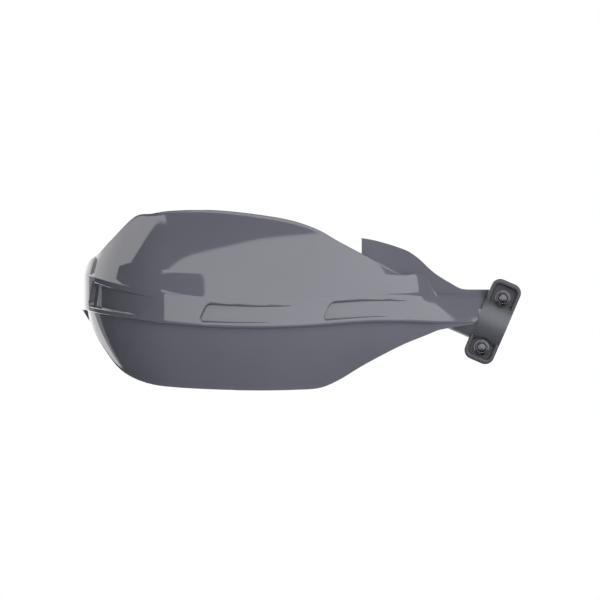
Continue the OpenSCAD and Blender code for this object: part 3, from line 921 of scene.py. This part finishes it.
# %% The softbox for the outboard edge, and the two behind
rim_place, rim_roll = Vector((-1.45, -0.61, 2.96)), 29.3
rim = softbox("rim_softbox", rim_place, rim_place + Vector((1.0, 0.0, 0.0)), rim_roll,
              (1.5, 5.6), 3.3)
rim.visible_diffuse = False
behind_far, back_turn, fill_turn = 2.0, math.radians(-155.0), math.radians(150.0)
back_way = Vector((math.sin(back_turn), -math.cos(back_turn), 0.0))
back_place = guard_middle + Vector((-0.12, 0.0, 0.0)) + back_way * behind_far
softbox("back_softbox", back_place, back_place - back_way, 0.0, (2.0, 3.2), 2.3)
fill_way = Vector((math.sin(fill_turn), -math.cos(fill_turn), 0.35))
fill_place = guard_middle + fill_way * behind_far
fill = softbox("back_fill", fill_place, guard_middle, 0.0, (2.2, 2.2), 1.6)
fill.visible_glossy = False

# %% [markdown]
# Between the softboxes the part mirrors dark cloth, which gives the deep grey fields that
# shape its skin. A black world would do that too, but would turn the ground black. So a
# large dark tent stands round the front half, and it shows only in reflections.

# %% The dark tent, seen only in reflections
tent_r, tent_cut = 6.5, 3.25
bpy.ops.object.select_all(action="DESELECT")
bpy.ops.mesh.primitive_uv_sphere_add(segments=48, ring_count=24, radius=tent_r,
                                     location=guard_middle)
tent = bpy.context.object
tent.name = "dark_tent"
bpy.ops.object.mode_set(mode="EDIT")
bpy.ops.mesh.select_all(action="SELECT")
bpy.ops.mesh.bisect(plane_co=guard_middle + Vector((0.0, tent_cut, 0.0)),
                    plane_no=(0.0, 1.0, 0.0), clear_outer=True)
bpy.ops.object.mode_set(mode="OBJECT")
tent_cloth = bpy.data.materials.new("tent_cloth")
tent_cloth.use_nodes = True
tent_shader = tent_cloth.node_tree.nodes["Principled BSDF"]
tent_shader.inputs["Base Color"].default_value = (0.02, 0.02, 0.022, 1)
tent_shader.inputs["Roughness"].default_value = 1.0
tent.data.materials.append(tent_cloth)
tent.visible_camera = False
tent.visible_diffuse = False
tent.visible_shadow = False
tent.visible_transmission = False
print("tent", len(tent.data.polygons), "faces")

# %% [markdown]
# The guard hangs over a plain pale floor that takes its soft shadow. A floor made bright by
# more lamps would wash out the part, so the ground's last step to white is an emission that
# only the camera's rays see. The floor's front border follows the key's plane, because a
# strip of floor beyond it would stay unlit and show as a grey wedge from behind.

# %% The floor, well below the guard
floor_glow = 0.25
floor_drop, floor_front, floor_behind, floor_wide = 0.26, 1.55, 2.7, 7.0
floor_middle = guard_middle + key_way * (floor_front - floor_behind) / 2
bpy.ops.mesh.primitive_plane_add(size=1.0, location=(floor_middle.x, floor_middle.y, -floor_drop),
                                 rotation=(0.0, 0.0, key_turn))
bpy.context.object.scale = (floor_wide, floor_front + floor_behind, 1.0)
floor = bpy.context.object
floor.name = "floor"
floor_paint = bpy.data.materials.new("floor_paint")
floor_paint.use_nodes = True
floor_tree = floor_paint.node_tree
floor_shader = floor_tree.nodes["Principled BSDF"]
floor_shader.inputs["Base Color"].default_value = (0.85, 0.85, 0.85, 1.0)
floor_shader.inputs["Roughness"].default_value = 0.9
floor_shader.inputs["Emission Color"].default_value = (1.0, 1.0, 1.0, 1.0)
floor_rays = add(floor_tree, "ShaderNodeLightPath")
floor_tree.links.new(
    blend_range(floor_tree, floor_rays.outputs["Is Camera Ray"], 0.0, 1.0, 0.0, floor_glow),
    floor_shader.inputs["Emission Strength"])
floor.data.materials.append(floor_paint)
floor.visible_glossy = False
print("floor", [round(v, 2) for v in floor.dimensions], "m")

# %% [markdown]
# The world is white where it is looked at, straight or in a reflection, and only a faint
# fill where it lights. One strength for both would be either a grey ground or a washed-out
# part, so Light Path tells the two apart.

# %% The white world
world_fill, world_seen = 0.12, 1.0
world = bpy.data.worlds.new("studio")
bpy.context.scene.world = world
world.use_nodes = True
sky = world.node_tree
sky.nodes.clear()
rays = add(sky, "ShaderNodeLightPath")
seen = add(sky, "ShaderNodeMath", operation="MAXIMUM")
sky.links.new(rays.outputs["Is Camera Ray"], seen.inputs[0])
sky.links.new(rays.outputs["Is Glossy Ray"], seen.inputs[1])
strength = blend_range(sky, seen.outputs["Value"], 0.0, 1.0, world_fill, world_seen)
white = add(sky, "ShaderNodeBackground")
sky.links.new(strength, white.inputs["Strength"])
white.inputs["Color"].default_value = (1.0, 1.0, 1.0, 1.0)
sky.links.new(white.outputs["Background"], add(sky, "ShaderNodeOutputWorld").inputs["Surface"])
bpy.context.scene.view_settings.view_transform = "Standard"
print("world", world.name, "fill", world_fill, "seen", world_seen)
